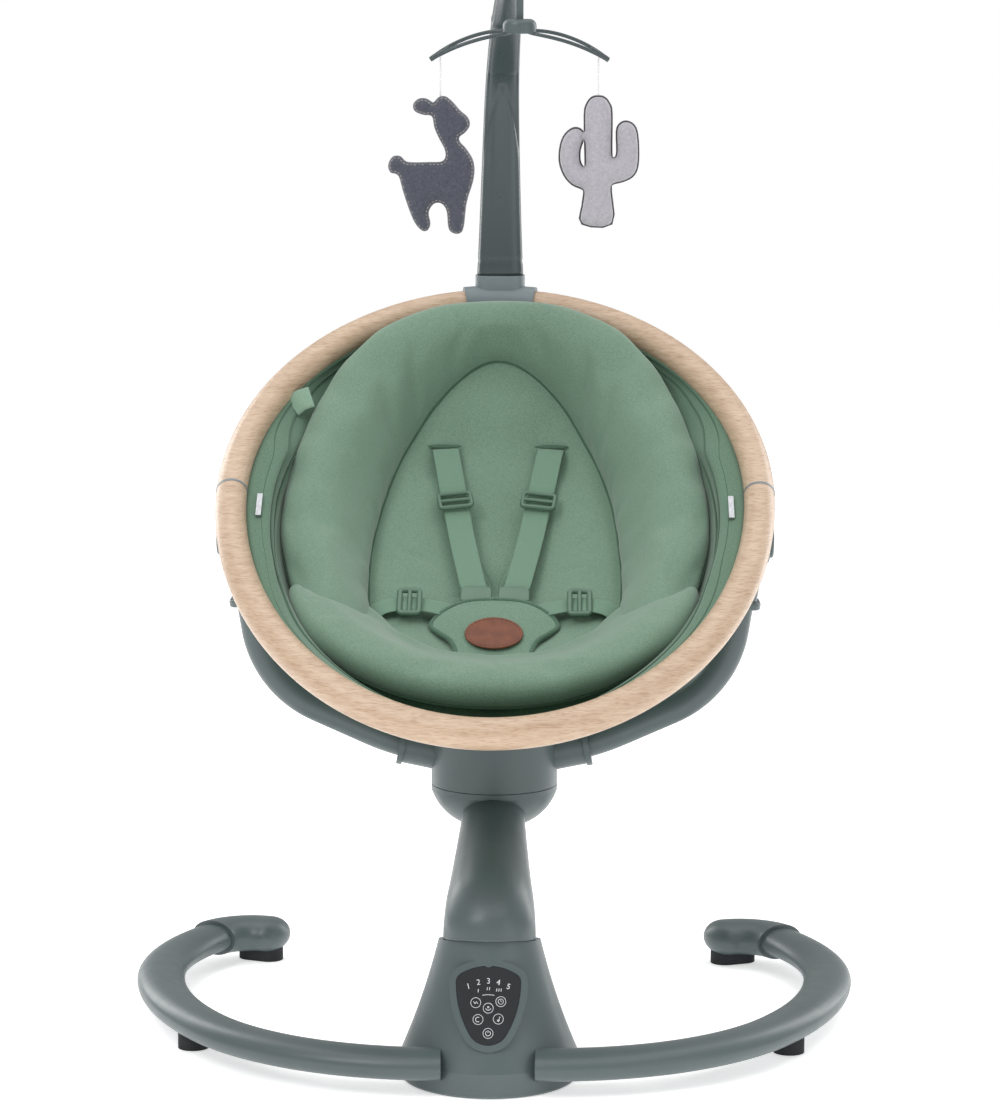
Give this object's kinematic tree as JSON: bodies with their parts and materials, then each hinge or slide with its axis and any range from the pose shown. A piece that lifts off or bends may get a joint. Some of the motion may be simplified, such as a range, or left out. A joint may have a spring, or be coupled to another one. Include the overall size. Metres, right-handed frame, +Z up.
{
  "type": "baby swing",
  "caption": "Reclining ring seat on a two-armed yoke and turntable, swung by a leaning powered axis on a curved-leg base, with a toy bar and mobile.",
  "frame": {"origin": "on the floor, on the upright centre line of the base housing", "axes": "+X to the right seen from the front, +Y towards the back, +Z up"},
  "size_m": [0.6558, 0.5491, 0.9456],
  "materials": {
    "plastic": "satin moulded, dark green-grey",
    "collar_plastic": "satin moulded, mid grey",
    "panel": "gloss black",
    "rubber": "matt",
    "wood": "satin lacquered pale beech",
    "fabric": "melange sage-green knit",
    "webbing": "woven webbing",
    "steel": "zinc plated",
    "board": "circuit board",
    "copper": "enamelled winding",
    "magnet": "plated magnet on a moulded lever",
    "acetal": "natural acetal",
    "felt_dark": "dark blue-grey felt",
    "felt_light": "light grey felt",
    "string": "white cord"
  },
  "bodies": {
    "base": {"base_housing": "plastic", "base_cover": "plastic", "base_pads": "rubber", "base_screws": "steel", "leg_left": "plastic", "leg_right": "plastic", "leg_cap_left": "plastic", "leg_cap_right": "plastic", "cap_pads": "rubber", "leg_feet": "rubber", "control_panel": "panel", "control_board": "board", "speaker": "plastic", "power_inlet": "plastic", "bearing_tower": "plastic", "swing_bearings": "steel", "drive_coil": "copper"},
    "swing_arm": {"swing_shaft": "steel", "drive_magnet": "magnet", "neck": "plastic", "hub_bowl": "plastic", "turntable_bush": "acetal"},
    "turret": {"hub_ring": "plastic", "hub_shell": "plastic", "turntable_pin": "steel", "yoke_arm_left": "plastic", "yoke_arm_right": "plastic", "arm_sleeve_left": "plastic", "arm_sleeve_right": "plastic", "hinge_housing_left": "plastic", "hinge_housing_right": "plastic", "hinge_pins": "steel"},
    "arm_catch_left": {"arm_button_left": "plastic"},
    "arm_catch_right": {"arm_button_right": "plastic"},
    "recline_catch_left": {"recline_button_left": "plastic"},
    "recline_catch_right": {"recline_button_right": "plastic"},
    "seat": {"front_rail": "wood", "rail_left": "wood", "rail_right": "wood", "rail_spacers": "collar_plastic", "head_collar": "collar_plastic", "seat_brackets": "steel", "seat_shell": "fabric", "seat_rim": "fabric", "back_pad": "fabric", "seat_pad": "fabric", "shoulder_straps": "webbing", "waist_straps": "webbing", "strap_adjusters": "plastic", "crotch_pad": "fabric", "buckle_body": "plastic"},
    "buckle_release": {"buckle_button": "plastic"},
    "bar": {"toy_bar": "plastic", "mobile_stem": "plastic"},
    "mobile": {"mobile_hub": "plastic", "mobile_arms": "plastic"},
    "llama_toy": {"llama": "felt_dark", "llama_string": "string"},
    "cactus_toy": {"cactus": "felt_light", "cactus_string": "string"}
  },
  "joints": [
    {"name": "swing", "type": "hinge", "parent": "base", "child": "swing_arm", "pos_m": [0, -0.007, 0.12], "axis": [0, 0.1702, 0.9854], "range_deg": [-40, 40]},
    {"name": "seat_turn", "type": "hinge", "parent": "swing_arm", "child": "turret", "pos_m": [0, 0.215, 0.21], "axis": [0, 0, 1], "range_deg": [-90, 90]},
    {"name": "recline", "type": "hinge", "parent": "turret", "child": "seat", "pos_m": [0, 0.216, 0.434], "axis": [-1, 0, 0], "range_deg": [0, 16]},
    {"name": "recline_press_left", "type": "slide", "parent": "turret", "child": "recline_catch_left", "axis": [1, 0, 0], "range_m": [0, 0.004], "stiffness_N_per_m": 800},
    {"name": "recline_press_right", "type": "slide", "parent": "turret", "child": "recline_catch_right", "axis": [-1, 0, 0], "range_m": [0, 0.004], "stiffness_N_per_m": 800},
    {"name": "arm_press_left", "type": "slide", "parent": "turret", "child": "arm_catch_left", "axis": [-0.1996, 0, -0.9799], "range_m": [0, 0.002], "stiffness_N_per_m": 600},
    {"name": "arm_press_right", "type": "slide", "parent": "turret", "child": "arm_catch_right", "axis": [0.1996, 0, -0.9799], "range_m": [0, 0.002], "stiffness_N_per_m": 600},
    {"name": "buckle_press", "type": "slide", "parent": "seat", "child": "buckle_release", "axis": [0, 0.5383, -0.8427], "range_m": [0, 0.003], "stiffness_N_per_m": 800},
    {"name": "bar_swivel", "type": "hinge", "parent": "seat", "child": "bar", "pos_m": [0, 0.455, 0.655], "axis": [0, 0, 1], "range_deg": [-90, 90]},
    {"name": "mobile_spin", "type": "hinge", "parent": "bar", "child": "mobile", "pos_m": [0.01978, 0.22886, 0.882], "axis": [0, 0, 1], "continuous": true},
    {"name": "llama_sway", "type": "hinge", "parent": "mobile", "child": "llama_toy", "pos_m": [-0.05022, 0.22886, 0.86211], "axis": [0, 1, 0], "range_deg": [-20, 20]},
    {"name": "cactus_sway", "type": "hinge", "parent": "mobile", "child": "cactus_toy", "pos_m": [0.08978, 0.22886, 0.86211], "axis": [0, 1, 0], "range_deg": [-20, 20]}
  ]
}
